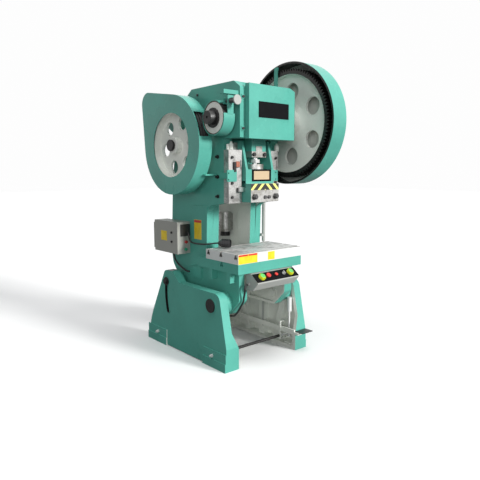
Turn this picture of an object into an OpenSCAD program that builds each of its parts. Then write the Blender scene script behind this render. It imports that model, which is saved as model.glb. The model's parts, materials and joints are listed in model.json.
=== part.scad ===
// Inclinable C-frame mechanical stamping press, built full size in millimetres.
// X runs to the right seen from the front, Y to the back and Z up.
// The origin is on the floor, in the middle of the four anchor bolts.

/* [Stand] */
// Height of each leg at its front
leg_h = 545; // [520:5:560]
// Rise of the rear ear above the front of the leg
ear_rise = 75; // [60:5:80]
// Distance from the middle plane to the outer face of a leg plate
leg_out = 405; // [395:1:420]
// Thickness of a leg plate
leg_t = 22; // [16:1:28]
// Width of the flange round the edge of a leg
leg_flange = 30; // [22:1:36]
// Front and rear reach of the feet
foot_reach = 518; // [500:1:540]
// Height of the pads cast on the outside of the feet
pad_h = 128; // [110:1:140]
// How far the pads stand proud of the leg plate
pad_t = 6; // [4:1:9]
// Thickness of the bolted foot flange
foot_t = 40; // [30:1:50]
// Radius of the anchor bolt holes
anchor_r = 13; // [10:1:16]
// Distance of the anchor bolts from the middle plane
anchor_x = 352; // [340:1:362]
// Distance of the anchor bolts from the front to back middle
anchor_y = 440; // [430:1:455]
// Width of the broad ribs inside a leg
rib_w = 58; // [50:1:62]
// Radius of the tie rods between the legs
tie_r = 8; // [6:1:10]
// Outer radius of the spacer tube on the front tie rod
spacer_r = 11; // [10.5:0.5:12]

/* [Tilting pivot] */
// Height of the tilting pivot
pivot_z = 449; // [440:1:455]
// Front to back place of the tilting pivot
pivot_y = -345; // [-350:1:-340]
// Radius of the pivot bolts
pivot_r = 30; // [24:1:36]
// Running clearance of the pivots and shafts
run_fit = 0.05; // [0.02:0.01:0.1]
// Radius of the clamp bolts in the curved slots
clamp_r = 16; // [12:1:16]
// Half width of the curved slots
slot_r = 18; // [17.5:0.5:20]

/* [Frame] */
// Distance from the middle plane to the outer face of a side plate
side_out = 265; // [260:1:266]
// Thickness of a side plate
side_t = 50; // [44:1:56]
// Height of the frame's top
frame_top = 2003; // [1995:1:2015]
// Height of the underside of the head
head_z = 1624; // [1618:1:1630]
// Height of the top of the throat
throat_z = 1170; // [1165:1:1172]
// Half width of the throat between the column pillars
throat_half = 160; // [150:1:170]
// How far the column strip stands proud of the side plate
strip_t = 7; // [4:1:7]

/* [Table and bolster] */
// Half width of the table
table_half = 315; // [311:1:318]
// Height of the top of the table
table_z = 759; // [755:1:762]
// Thickness of the table
table_t = 71; // [60:1:74]
// Front edge of the table
table_front = -540; // [-548:1:-536]
// Depth of the bolster from front to back
bolster_d = 368; // [350:1:372]
// Thickness of the bolster
bolster_t = 70; // [60:1:74]
// Width of the neck of a slot in the bolster
tslot_neck = 18; // [14:1:22]
// Width of the undercut of a slot in the bolster
tslot_wide = 32; // [28:1:34]
// Full depth of a slot in the bolster
tslot_depth = 38; // [32:1:42]
// Depth of the neck of a slot in the bolster
tslot_lip = 20; // [16:1:24]

/* [Crank] */
// Height of the crankshaft
crank_z = 1756; // [1754:1:1758]
// Front to back place of the crankshaft
crank_y = -356; // [-358:1:-354]
// Throw of the crank, half of the stroke
throw_r = 35; // [30:1:35]
// Radius of the main journals
journal_r = 55; // [50:1:58]
// Radius of the crank pin
crankpin_r = 40; // [36:1:40]
// Radius of the crank cheeks
cheek_r = 78; // [77:1:84]
// Outer radius of the crank bushes
bush_r = 70; // [66:1:74]
// Radius of the seat that carries the brake drum
drum_seat_r = 45; // [40:1:48]
// Radius of the seat that carries the large gear
gear_seat_r = 50; // [46:1:52]

/* [Connecting rod] */
// Height of the ball centre at the top of the stroke
ball_z = 1400; // [1398:1:1402]
// Radius of the ball
ball_r = 34; // [31:1:36]
// Half width of the eye at the top of the rod
rod_half = 52; // [46:1:54]
// Wall round the eye of the rod
rod_wall = 15; // [12:1:16]
// Half width of the rod's lower block
rod_block_half = 70; // [64:1:76]
// Radius of the neck of the ball screw
screw_r = 24; // [21:1:26]

/* [Ram] */
// Half width of the ram's body
ram_half = 137; // [130:1:139]
// Half width of the ram between the guides
tongue_half = 170; // [165:1:175]
// Height of the underside of the ram at the top of the stroke
ram_z = 1177; // [1174:1:1180]
// Height of the top of the ram
ram_top = 1615; // [1600:1:1618]
// Radius of the bore for the tool's shank
shank_r = 25; // [20:0.5:28]
// Depth of the bore for the tool's shank
shank_depth = 70; // [60:1:72]
// Clearance between the ram and its guides
guide_gap = 0.3; // [0.2:0.05:0.5]
// Height of the knockout bar
knock_h = 34; // [30:1:36]
// Travel of the knockout bar
knock_travel = 40; // [30:1:40]

/* [Gear drive] */
// Number of teeth of the large gear
gear_teeth = 100; // [96:1:104]
// Number of teeth of the pinion
pinion_teeth = 17; // [16:1:19]
// Face width of the large gear
gear_face = 100; // [90:1:104]
// Inner face of the large gear
gear_x = 335; // [333:1:338]
// Height of the drive shaft
shaft_z = 1586; // [1584:1:1588]
// Front to back place of the drive shaft
shaft_y = 80; // [79:1:82]
// Radius of the drive shaft
shaft_r = 30; // [26:1:34]
// Radius of the round openings in the gear's web
gear_hole_r = 66; // [58:1:70]
// Radial room between the gear's teeth and its guard
guard_gap = 47; // [40:1:50]
// Thickness of the sheet metal of the guards
sheet_t = 3; // [2:0.5:4]

/* [Flywheel] */
// Radius of the flywheel
fly_r = 340; // [330:1:342]
// Inner radius of the flywheel's rim
fly_rim_in = 240; // [230:1:250]
// Width of the flywheel's rim
fly_w = 87; // [80:1:88]
// Outer face of the flywheel's rim
fly_x = 432; // [430:1:434]
// Radius of the round openings in the flywheel's web
fly_hole_r = 49; // [40:1:55]
// Radius of the motor's pulley
pulley_r = 60; // [50:1:66]
// Radius of the motor's body
motor_r = 95; // [85:1:98]
// Height of the motor's axis
motor_z = 1908; // [1904:1:1914]
// Front to back place of the motor's axis
motor_y = 386; // [382:1:392]

/* [Brake] */
// Radius of the brake drum
drum_r = 105.5; // [102:0.5:107]
// Width of the brake drum
drum_w = 86; // [80:1:86]
// Thickness of the brake lining
lining_t = 5; // [4:0.5:6]
// Thickness of the brake band
band_t = 8; // [5:0.5:8]
// Width of the strap that anchors the brake band
strap_w = 50; // [40:1:56]

/* [Electrics] */
// Half width of the two-hand control box
control_half = 207; // [200:1:212]
// Distance from one palm button to the other
palm_pitch = 282; // [270:1:300]
// Radius of the palm buttons
palm_r = 21; // [18:1:22]
// Travel of the push buttons
button_travel = 5; // [3:0.5:6]
// Width of the electric box from the frame outwards
ebox_w = 116; // [108:1:118]
// Depth of the electric box from front to back
ebox_d = 327; // [310:1:330]
// Height of the electric box
ebox_h = 249; // [240:1:256]

/* [Treadle] */
// Height of the treadle lever
lever_h = 41; // [34:1:42]
// Thickness of the treadle lever
lever_t = 12; // [10:1:12]
// Radius of the pull rod
pull_r = 8; // [6:0.5:9]
// Width of the treadle plate
treadle_w = 116; // [100:1:118]
// Depth of the treadle plate
treadle_d = 78; // [70:1:90]

/* [Hidden] */
$fn = 64;
paint = "mediumaquamarine";
pale = "gainsboro";
steel = "silver";
dark = "dimgray";
black = "#202020";
eps = 0.01;
pi_deg = 180 / PI;
seat_gap = 0.3;

function unit(v) = v / norm(v);
function corner_arc(p0, p1, p2, r, n = 6) = r <= 0 ? [p1] :
  let (u = unit(p0 - p1), w = unit(p2 - p1), half = acos(u * w) / 2,
    c = p1 + unit(u + w) * r / sin(half),
    a = p1 + u * r / tan(half) - c, b = p1 + w * r / tan(half) - c,
    a0 = atan2(a.y, a.x), d = atan2(b.y, b.x) - a0,
    sweep = d > 180 ? d - 360 : d < -180 ? d + 360 : d)
  [for (i = [0:n]) c + r * [cos(a0 + sweep * i / n), sin(a0 + sweep * i / n)]];
// Each entry is a point and the radius of the corner there
function rounded(list, n = 6) = let (m = len(list))
  [for (i = [0:m - 1])
    let (a = list[(i + m - 1) % m], b = list[i], c = list[(i + 1) % m])
    each corner_arc([a[0], a[1]], [b[0], b[1]], [c[0], c[1]], len(b) > 2 ? b[2] : 0, n)];
// Outline moved inwards by d, for points that run counter-clockwise
function inset(p, d) = let (m = len(p))
  [for (i = [0:m - 1])
    let (a = unit(p[i] - p[(i + m - 1) % m]), b = unit(p[(i + 1) % m] - p[i]),
      na = [-a.y, a.x], nb = [-b.y, b.x])
    p[i] + (na + nb) * d / (1 + na * nb)];
// Outline of a band that runs round two circles
function teardrop(c1, r1, c2, r2, n = 48) =
  let (v = c2 - c1, d = norm(v), base = atan2(v.y, v.x), lean = acos((r1 - r2) / d),
    wide = 360 - 2 * lean, tip = 2 * lean)
  concat([for (i = [0:n]) let (a = base + lean + wide * i / n) c1 + r1 * [cos(a), sin(a)]],
    [for (i = [0:n]) let (a = base - lean + tip * i / n) c2 + r2 * [cos(a), sin(a)]]);

module side_prism(x0, x1, pts) translate([x0, 0, 0])
  rotate([90, 0, 90])
  linear_extrude(x1 - x0)
  polygon(pts);
module block(x, y, z) translate([x[0], y[0], z[0]])
  cube([x[1] - x[0], y[1] - y[0], z[1] - z[0]]);
module x_cyl(r, x0, x1, y, z) translate([x0, y, z])
  rotate([0, 90, 0])
  cylinder(r = r, h = x1 - x0);
module x_cone(r0, r1, x0, x1, y, z) translate([x0, y, z])
  rotate([0, 90, 0])
  cylinder(r1 = r0, r2 = r1, h = x1 - x0);
module y_cyl(r, x, y0, y1, z) translate([x, y1, z])
  rotate([90, 0, 0])
  cylinder(r = r, h = y1 - y0);
module z_cyl(r, x, y, z0, z1) translate([x, y, z0])
  cylinder(r = r, h = z1 - z0);
module hex_z(r, x, y, z0, z1) translate([x, y, z0])
  cylinder(r = r, h = z1 - z0, $fn = 6);
module hex_x(r, x0, x1, y, z) translate([x0, y, z])
  rotate([0, 90, 0])
  cylinder(r = r, h = x1 - x0, $fn = 6);
module hex_y(r, x, y0, y1, z) translate([x, y1, z])
  rotate([90, 0, 0])
  cylinder(r = r, h = y1 - y0, $fn = 6);
module pair() {
  children();
  mirror([1, 0, 0]) children();
}
// Tube swept along a route with ten sides
function frame_at(p, i, route) = let (m = len(p), e = len(route) - 1,
    t = unit(i == 0 ? route[1] - route[0] : i == m - 1 ? route[e] - route[e - 1] : p[i + 1] - p[i - 1]),
    s = unit(cross(t, [0.13, 0.21, 0.97])))
  [s, cross(t, s)];
function smooth(p, n = 3) = let (m = len(p))
  [for (i = [0:m - 2]) for (k = [0:n - 1])
    let (a = p[max(i - 1, 0)], b = p[i], c = p[i + 1], d = p[min(i + 2, m - 1)], t = k / n)
    ((2 * b) + (c - a) * t + (2 * a - 5 * b + 4 * c - d) * t * t
      + (3 * b - a - 3 * c + d) * t * t * t) / 2, p[m - 1]];
module tube_on(route, r, sides = 10) {
  p = smooth(route);
  m = len(p);
  pts = [for (i = [0:m - 1]) let (f = frame_at(p, i, route)) for (k = [0:sides - 1])
    p[i] + r * (f[0] * cos(360 * k / sides) + f[1] * sin(360 * k / sides))];
  skin = [for (i = [0:m - 2]) for (k = [0:sides - 1]) let (q = (k + 1) % sides)
    [i * sides + k, (i + 1) * sides + k, (i + 1) * sides + q, i * sides + q]];
  first = [for (k = [0:sides - 1]) k];
  last = [for (k = [0:sides - 1]) m * sides - 1 - k];
  polyhedron(pts, concat([first], skin, [last]));
}

// Stand
leg_in_low = 290;
leg_in_high = 337;
ear_z = leg_h + ear_rise;
pivot = [pivot_y, pivot_z];
clamp_bolt = [231, 531];
clamp_reach = norm(clamp_bolt - pivot);
clamp_a = atan2(clamp_bolt.y - pivot_z, clamp_bolt.x - pivot_y);
slot_sweep = 23.5;
boss_r = 78;
clamp_boss_r = 62;
treadle_pin = [160, 135];
// Front to back place and height of the tie rods
tie_y = 365;
tie_z = 88;
leg_outline = rounded([[-foot_reach, 0], [foot_reach, 0], [foot_reach, 54], [480, 178, 40],
  [450, 249, 60], [256, ear_z, 45], [145, ear_z + 4, 45], [58, leg_h, 40], [-438, leg_h, 60],
  [-459, 445, 40], [-foot_reach, 165, 40]]);
module leg_window() {
  side_prism(leg_in_low - 10, leg_out - leg_t, inset(leg_outline, leg_flange));
}
function arc(c, r, a0, a1, n) = [for (i = [0:n]) let (a = a0 + (a1 - a0) * i / n) c + r * [cos(a), sin(a)]];
// Outline of the curved slot, grown by r from its centre line
function slot_outline(r) = let (low = clamp_a - slot_sweep)
  concat(arc(pivot, clamp_reach + r, low, clamp_a, 12),
    arc(pivot + clamp_reach * [cos(clamp_a), sin(clamp_a)], r, clamp_a + 18, clamp_a + 162, 8),
    arc(pivot, clamp_reach - r, clamp_a, low, 12),
    arc(pivot + clamp_reach * [cos(low), sin(low)], r, low + 198, low + 342, 8));
module leg_slot(x0, x1, r) {
  side_prism(x0, x1, slot_outline(r));
}
rib_d = 53;
rim_t = 3;
// Broad ribs inside a leg, each from its top edge to its foot
leg_ribs = [for (rib = [[-375, -281, 449], [-112, -112, leg_h - 10], [200, 54, 500]])
  [[rib[0], rib[2]], [rib[1], 20], [rib[1] + rib_w, 20], [rib[0] + rib_w, rib[2]]]];
module leg() {
  difference() {
    union() {
      difference() {
        side_prism(leg_in_low, leg_out, leg_outline);
        leg_window();
      }
      x_cyl(boss_r, leg_in_high, leg_out - leg_t + 1, pivot_y, pivot_z);
      leg_slot(leg_in_high, leg_out - leg_t + 1, slot_r + 20);
      for (rib = leg_ribs)
        side_prism(leg_out - leg_t - rib_d, leg_out - leg_t + 1, rib);
      x_cyl(60, leg_out - 1, leg_out + rim_t, pivot_y, pivot_z);
      leg_slot(leg_out - 1, leg_out + rim_t, slot_r + 7);
      for (s = [-1, 1])
        block([leg_in_low + 20, leg_out - 1], [s * anchor_y - 55, s * anchor_y + 55], [2, foot_t]);
      foot_pads();
      x_cyl(24, leg_out - leg_t - 30, leg_out - leg_t + 1, treadle_pin.x, treadle_pin.y);
    }
    leg_cuts();
  }
}
module foot_pads() {
  for (y = [[-foot_reach, -251], [240, foot_reach]]) {
    block([leg_out - 1, leg_out + pad_t], y, [0, pad_h]);
    block([leg_out - 1, leg_out + 2 * pad_t], y, [0, pad_h / 2 - 2]);
  }
}
module leg_cuts() {
  // slanting inner edge
  translate([0, foot_reach + 5, 0])
    rotate([90, 0, 0])
    linear_extrude(2 * foot_reach + 10)
    polygon([[leg_in_low - 20, 151], [leg_in_low, 151], [leg_in_high, 268], [leg_in_high, 700],
      [leg_in_low - 20, 700]]);
  block([leg_in_low - 1, leg_out + 20], [-251, 240], [-1, 5]);
  x_cyl(pivot_r + run_fit, leg_in_high - 40, leg_out + rim_t + 1, pivot_y, pivot_z);
  leg_slot(leg_in_high - 40, leg_out + rim_t + 1, slot_r);
  for (s = [-1, 1]) {
    z_cyl(anchor_r, anchor_x, s * anchor_y, -1, foot_t + 1);
    x_cyl(tie_r + 0.2, leg_in_low - 1, leg_out + 20, s * tie_y, tie_z);
  }
  x_cyl(12, leg_out - leg_t - rib_d - 1, leg_out - leg_t - 5, treadle_pin.x, treadle_pin.y);
}
module right_leg() color(paint) leg();
module left_leg() color(paint) mirror([1, 0, 0])
  leg();
module tie_rods() {
  nut_x = leg_out + 2 * pad_t;
  color(steel) for (s = [-1, 1]) {
    x_cyl(tie_r, -nut_x - 18, nut_x + 18, s * tie_y, tie_z);
    pair() hex_x(tie_r * 1.65, leg_out + pad_t, nut_x + 8, s * tie_y, tie_z);
    pair() hex_x(tie_r * 1.65, leg_in_low - 14, leg_in_low, s * tie_y, tie_z);
  }
  color(black) difference() {
    x_cyl(spacer_r, -leg_in_low + 14.3, leg_in_low - 14.3, -tie_y, tie_z);
    x_cyl(tie_r + 0.3, -leg_in_low, leg_in_low, -tie_y, tie_z);
  }
}
module treadle_bracket() {
  wall = leg_out - leg_t;
  color(dark) {
    x_cyl(12 - run_fit, 268, wall - 5, treadle_pin.x, treadle_pin.y);
    x_cyl(20, 264, 268, treadle_pin.x, treadle_pin.y);
  }
  color(pale) {
    difference() {
      block([262, 268], [-383, -359], [60, 211]);
      x_cyl(spacer_r + seat_gap, 261, 269, -tie_y, tie_z);
    }
    for (z = [[60, 66], [205, 211]])
      block([267, wall], [-383, -359], z);
  }
}
strut = [300, 78 - foot_reach];
module return_strut() {
  wall = leg_out - leg_t;
  color(steel) {
    z_cyl(18, strut.x, strut.y, 300, 413);
    z_cyl(7, strut.x, strut.y, 100, 301);
    z_cyl(12, strut.x, strut.y, 92, 101);
  }
  color(pale) block([strut.x, wall], [strut.y + 4, strut.y + 16], [390, 408]);
}

// Frame
side_in = side_out - side_t;
cover_front = -541;
head_front = -500;
cheek_front = -324;
wall_back = -150;
web_front = -80;
cheek_in = 190;
cavity_half = 120;
side_outline = rounded([[-375, 362, 40], [80, 362, 30], [235, 440, 60], [285, 578, 60], [344, 652, 60],
  [364, 750, 90], [332, 1326, 120], [300, 1500, 160], [255, 1700, 200], [110, 1962, 40],
  [57, frame_top - 3, 20], [head_front + 64, frame_top, 20], [head_front, frame_top - 44, 20],
  [head_front, head_z, 3], [cheek_front, head_z, 3], [cheek_front, throat_z, 4],
  [-135, throat_z - 31, 60], [-125, 860, 20], [-120, table_z, 4], [-120, table_z - 30, 2],
  [-490, table_z - 30, 2], [-490, 480, 40]]);
strip_outline = rounded([[-120, table_z - 40], [97, 657], [69, 865], [56, 1135], [-134, 1135],
  [-125, 860, 20], [-120, table_z, 4]]);
pillar_outline = rounded([[-120, table_z - 20], [19, table_z - 20], [19, throat_z + 5],
  [-145, throat_z + 5], [-135, throat_z - 31, 20], [-125, 860, 20], [-120, table_z, 2]]);
// Lip inside the lower edge of a side plate
lip_outline = rounded([[60, 362], [60, 382], [-365, 382, 20], [-470, 494, 20], [-470, 560], [-490, 560],
  [-490, 480, 40], [-375, 362, 40]]);
module frame_plates() {
  side_prism(side_in, side_out, side_outline);
  side_prism(side_out - 1, side_out + strip_t, strip_outline);
  side_prism(throat_half, side_in + 1, pillar_outline);
  // guide cheek and bearing wall of the head
  block([cheek_in, side_in + 1], [cheek_front, wall_back], [throat_z, head_z]);
  block([cavity_half, side_in + 1], [head_front, wall_back], [head_z, frame_top - 50]);
  side_prism(side_in - 25, side_in + 1, lip_outline);
  // rib under the table and pad on the outside
  block([side_in - 20, side_in + 1], [-324, -312], [500, table_z - table_t + 1]);
  block([side_out - 1, side_out + 10], [-57, 53], [582, 665]);
  x_cyl(boss_r, side_out - 1, leg_in_high - seat_gap, pivot_y, pivot_z);
  x_cyl(clamp_boss_r, side_out - 1, leg_in_high - seat_gap, clamp_bolt.x, clamp_bolt.y);
  for (y = [[-243, -210], [-451, -412]])
    block([side_out - 1, table_half], y, [table_z - table_t - 74, table_z - table_t + 1]);
}
module frame_webs() {
  inner = side_in + 1;
  block([-inner, inner], [-211, wall_back], [throat_z, frame_top - 60]);
  block([-inner, inner], [-211, 19], [throat_z, throat_z + 30]);
  block([-inner, inner], [-211, 108], [frame_top - 38, frame_top - 4]);
  block([-inner, inner], [web_front, web_front + 30], [364, table_z - 5]);
  block([-inner, inner], [-20, 78], [362, 392]);
  block([-inner, inner], [262, 290], [600, 700]);
  block([-inner, inner], [285, 310], [1180, 1260]);
  // closes the head above the crank cavity
  block([-inner, inner], [head_front + 66, -205], [1942, frame_top - 2]);
}
module table() {
  block([-table_half, table_half], [table_front, -66], [table_z - table_t, table_z]);
}
module frame() color(paint) difference() {
  union() {
    pair() frame_plates();
    frame_webs();
    table();
  }
  block([-cavity_half, cavity_half], [head_front - 1, -185], [head_z - 1, 1940]);
  x_cyl(bush_r, -side_out - 1, side_out + 1, crank_y, crank_z);
  x_cyl(shaft_r + 18, -side_out - 1, side_out + 1, shaft_y, shaft_z);
  pair() x_cyl(pivot_r, side_in - 1, leg_in_high, pivot_y, pivot_z);
  pair() x_cyl(clamp_r, side_in - 1, leg_in_high, clamp_bolt.x, clamp_bolt.y);
  t_slot(-355, table_z);
  z_cyl(75, 0, crank_y, table_z - table_t - 1, table_z + 1);
  block([284, table_half + 1], [-156, -120], [table_z - table_t - 1, table_z + 1]);
  pair() for (z = gib_screw_z)
    x_cyl(8.2, cheek_in - 1, side_out + 1, gib_screw_y, z);
  // pin of the trip lever
  x_cyl(12, side_out - 30, side_out + 1, trip.x, trip.y);
}
module t_slot(y, top, x = table_half + 1) {
  block([-x, x], [y - tslot_neck / 2, y + tslot_neck / 2], [top - tslot_lip - 1, top + 1]);
  block([-x, x], [y - tslot_wide / 2, y + tslot_wide / 2], [top - tslot_depth, top - tslot_lip]);
}
module tilt_bolts() color(black) pair() {
  face = leg_out + rim_t;
  x_cyl(pivot_r - eps, side_in - 2, face + 2, pivot_y, pivot_z);
  x_cyl(50, face + seat_gap, face + 8, pivot_y, pivot_z);
  // nut on the inside
  hex_x(pivot_r + 6, side_in - 22, side_in, pivot_y, pivot_z);
  x_cyl(clamp_r - eps, side_in, face + 20, clamp_bolt.x, clamp_bolt.y);
  x_cyl(34, face + seat_gap, face + 6, clamp_bolt.x, clamp_bolt.y);
  hex_x(24, face + 6, face + 18, clamp_bolt.x, clamp_bolt.y);
}
bolster_back = table_front + bolster_d;
bolster_z = table_z + bolster_t;
// Height of the lower guide screws and of the shank clamp's studs
clamp_z = 1217;
module bolster() color(steel) difference() {
  block([-table_half, table_half], [table_front, bolster_back], [table_z, bolster_z]);
  for (y = [-512, -348, -202])
    t_slot(y, bolster_z);
  pair() for (y = [-300, -460])
    z_cyl(8.2, 240, y, table_z - 1, table_z + 26);
}
gib_screw_z = [clamp_z, 1357, 1499];
gib_screw_y = -260;
module socket_screws() color(black) {
  // screws that set the guide strips
  pair() for (z = gib_screw_z) {
    x_cyl(8, cheek_in, side_out + 24, gib_screw_y, z);
    hex_x(14, side_out, side_out + 9, gib_screw_y, z);
  }
  // screws through the guide caps
  for (x = [-236, 190])
    for (z = [1214, 1313, 1494])
      y_cyl(10, x, cap_front - 10, cap_front, z);
  // screws of the front cover
  for (z = [1894, 1685]) {
    pair() y_cyl(9, 241, head_front - 12, head_front, z);
  }
  x_cyl(9, -side_out - 8, -side_out, -22, 1951);
}
cover_half = 219.5;
cover_t = 4;
module cover_shape(half, z0, z1, cut) {
  translate([0, head_front, 0])
    rotate([90, 0, 0])
    linear_extrude(41 - (cover_half - half))
    polygon([[-half, z0], [half, z0], [half, z1 - cut], [half - cut * 2.2, z1], [-half, z1]]);
}
module front_cover() color(paint) {
  difference() {
    cover_shape(cover_half, 1618, 1967 + 15, 22);
    translate([0, 1, 0]) cover_shape(cover_half - cover_t, 1618 + cover_t, 1963 + 15, 20);
  }
  // flange with its screw lugs
  for (z = [1894, 1685])
    pair() difference() {
      block([cover_half, 256], [head_front - 5, head_front], [z - 15, z + 15]);
      y_cyl(9.2, 241, head_front - 6, head_front + 1, z);
    }
}
module label_plates() {
  color(black) block([-133, 157], [cover_front - 3, cover_front], [1762, 1869]);
  color("gold") {
    block([-313, -137], [table_front - 1, table_front], [table_z + 2, bolster_z - 2]);
    block([-35, 33], [table_front - 1, table_front], [table_z + 6, bolster_z - 6]);
    block([-side_out - strip_t - 1, -side_out - strip_t], [-60, 33], [880, 1030]);
  }
}
module bushes() color("#b08d57") {
  pair() difference() {
    x_cyl(bush_r - eps, cavity_half + 2, side_out - 1, crank_y, crank_z);
    x_cyl(journal_r + run_fit, cavity_half, side_out, crank_y, crank_z);
  }
  pair() difference() {
    x_cyl(shaft_r + 18 - eps, side_in, side_out, shaft_y, shaft_z);
    x_cyl(shaft_r + run_fit, side_in - 1, side_out + 1, shaft_y, shaft_z);
  }
}

// Brake
drum_x = -378;
lining_in = drum_r + 0.5;
lining_out = lining_in + lining_t;
band_in = lining_out;
band_out = band_in + band_t;
band_open = [125, 168];
module band_gap(x0, x1) side_prism(x0, x1, [[crank_y, crank_z],
  for (a = [band_open[0] : (band_open[1] - band_open[0]) / 2 : band_open[1]])
    [crank_y, crank_z] + 400 * [cos(a), sin(a)]]);
module brake_ring(r0, r1, x0, x1) difference() {
  x_cyl(r1, x0, x1, crank_y, crank_z);
  x_cyl(r0, x0 - 1, x1 + 1, crank_y, crank_z);
  band_gap(x0 - 2, x1 + 2);
}
strap_y = crank_y - band_out;
strap_x = [-325 - strap_w / 2, -325 + strap_w / 2];
lug_y = -430;
tension_z = 1862;
module brake_band() color(paint) {
  difference() {
    union() {
      brake_ring(band_in, band_out, drum_x - 4, drum_x + drum_w + 4);
      block(strap_x, [strap_y, strap_y + band_t], [crank_z + 18, 1930]);
      block([-395, -side_out - seat_gap], [-489, -450], [1903, 1930]);
      block(strap_x, [lug_y, lug_y + 10], [tension_z - 20, tension_z + 20]);
    }
    y_cyl(10.2, -325, -520, lug_y + 15, tension_z);
  }
}
module brake_lining() color("#5b4636") brake_ring(lining_in, lining_out - eps, drum_x - 2,
  drum_x + drum_w + 2);
module brake_tension() color(steel) {
  y_cyl(10, -325, -540, lug_y + 12, tension_z);
  y_cyl(32, -325, -548, -536, tension_z);
  y_cyl(19, -325, -536.2, strap_y - seat_gap, tension_z);
}
module brake_drum() color(pale) difference() {
  union() {
    x_cyl(drum_r, drum_x, drum_x + drum_w, crank_y, crank_z);
    x_cyl(66, drum_x - 12, drum_x + 1, crank_y, crank_z);
  }
  x_cyl(drum_seat_r + eps, drum_x - 20, drum_x + drum_w + 1, crank_y, crank_z);
  difference() {
    x_cyl(drum_r - 14, drum_x + 30, drum_x + drum_w + 1, crank_y, crank_z);
    x_cyl(66, drum_x + 29, drum_x + drum_w + 2, crank_y, crank_z);
  }
}

// Crank drive
hub_x0 = 274;
gear_x1 = gear_x + gear_face;
module crankshaft() color(dark) difference() {
  union() {
    pair() x_cyl(journal_r, 97, side_out + 3, crank_y, crank_z);
    x_cyl(crankpin_r, -60, 60, crank_y, crank_z + throw_r);
    pair() x_cyl(cheek_r, 58, 98, crank_y, crank_z + throw_r / 2);
    x_cyl(drum_seat_r, -435, -side_out, crank_y, crank_z);
    x_cyl(gear_seat_r, side_out, gear_x1 + 10, crank_y, crank_z);
  }
  x_cyl(8, -436, -415, crank_y, crank_z);
}
centre_d = norm([shaft_y - crank_y, shaft_z - crank_z]);
mesh_a = atan2(shaft_z - crank_z, shaft_y - crank_y);
module_mm = 2 * centre_d / (gear_teeth + pinion_teeth);
pitch_r = module_mm * gear_teeth / 2;
pinion_pitch_r = module_mm * pinion_teeth / 2;
press_a = 20;
flank_gap = 0.5;
function inv(a) = tan(a) * pi_deg - a;
function half_tooth(r, z) = let (pr = module_mm * z / 2, rb = pr * cos(press_a))
  90 / z + inv(press_a) - inv(acos(min(1, rb / r))) - flank_gap / r * pi_deg;
function tooth(z, a, r_root, r_mid, r_tip) =
  [for (s = [-1, 1]) each let (rs = s < 0 ? [r_root, r_mid, r_tip] : [r_tip, r_mid, r_root])
    [for (r = rs) let (b = a + s * half_tooth(r, z)) r * [cos(b), sin(b)]]];
module teeth(z, a0, x0, x1, c) {
  pr = module_mm * z / 2;
  side_prism(x0, x1, [for (i = [0:z - 1])
    each [for (p = tooth(z, a0 + 360 * i / z, pr - 1.25 * module_mm, pr - 0.1 * module_mm,
      pr + module_mm * 0.95)) p + c]]);
}
tip_r = pitch_r + module_mm * 0.95;
web_in = gear_x + 50;
hub_r = 107;
module bull_gear() color(black) difference() {
  union() {
    difference() {
      teeth(gear_teeth, mesh_a, gear_x, gear_x1, [crank_y, crank_z]);
      x_cyl(pitch_r - 32, gear_x - 1, gear_x1 + 1, crank_y, crank_z);
    }
    x_cyl(pitch_r - 28, web_in, web_in + 24, crank_y, crank_z);
    x_cyl(hub_r, hub_x0, gear_x + 30, crank_y, crank_z);
    x_cone(hub_r, hub_r + 43, gear_x + 29, web_in + 1, crank_y, crank_z);
    x_cyl(90, web_in + 1, gear_x1 - 2, crank_y, crank_z);
  }
  x_cyl(gear_seat_r + run_fit, hub_x0 - 1, gear_x1 + 11, crank_y, crank_z);
  for (i = [0:5])
    x_cyl(gear_hole_r, web_in - 1, web_in + 25, crank_y + 244 * cos(i * 60 + 30),
      crank_z + 244 * sin(i * 60 + 30));
}
pinion_x0 = 332;
module drive_pinion() color(dark) difference() {
  teeth(pinion_teeth, mesh_a + 180 + 180 / pinion_teeth, pinion_x0 + 1, gear_x1 + 3, [shaft_y, shaft_z]);
  x_cyl(shaft_r + eps, pinion_x0, gear_x1 + 5, shaft_y, shaft_z);
}
module drive_shaft() color(dark) {
  x_cyl(shaft_r, -fly_x - 5, gear_x1 + 12, shaft_y, shaft_z);
  x_cyl(42, -fly_x - 20, -fly_x - 4, shaft_y, shaft_z);
}
guard_r = tip_r + guard_gap;
bulge_r = pinion_pitch_r + module_mm + 18;
guard_x1 = gear_x1 + 38;
module guard_solid(x0, x1, grow) {
  x_cyl(guard_r + grow, x0, x1, crank_y, crank_z, $fn = 128);
  x_cyl(bulge_r + grow, x0, x1, shaft_y, shaft_z);
}
module gear_guard() color(paint) difference() {
  guard_solid(gear_x - sheet_t, guard_x1, sheet_t);
  guard_solid(gear_x, guard_x1 - sheet_t, 0);
  guard_solid(gear_x - sheet_t - 1, gear_x + 1, -12);
}
guard_arm_y = [-262, -226];
guard_arm_z = crank_z + sqrt(pow(guard_r - 4, 2) - pow(guard_arm_y[1] - crank_y, 2));
module guard_post() color(paint) {
  face = gear_x - sheet_t;
  // bar up to the top of the guard
  block([318, 326], guard_arm_y, [1880, guard_arm_z]);
  block([325, face], guard_arm_y, [guard_arm_z - 24, guard_arm_z - 2]);
  block([side_out, 319], guard_arm_y, [1880, 1890]);
  block([side_out, side_out + 8], guard_arm_y, [1850, 1881]);
  // lower bracket of the guard
  low = crank_z - sqrt(pow(guard_r - 4, 2) - pow(-67 - crank_y, 2));
  block([side_out, face], [-82, -52], [low - 8, low + 8]);
}

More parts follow.
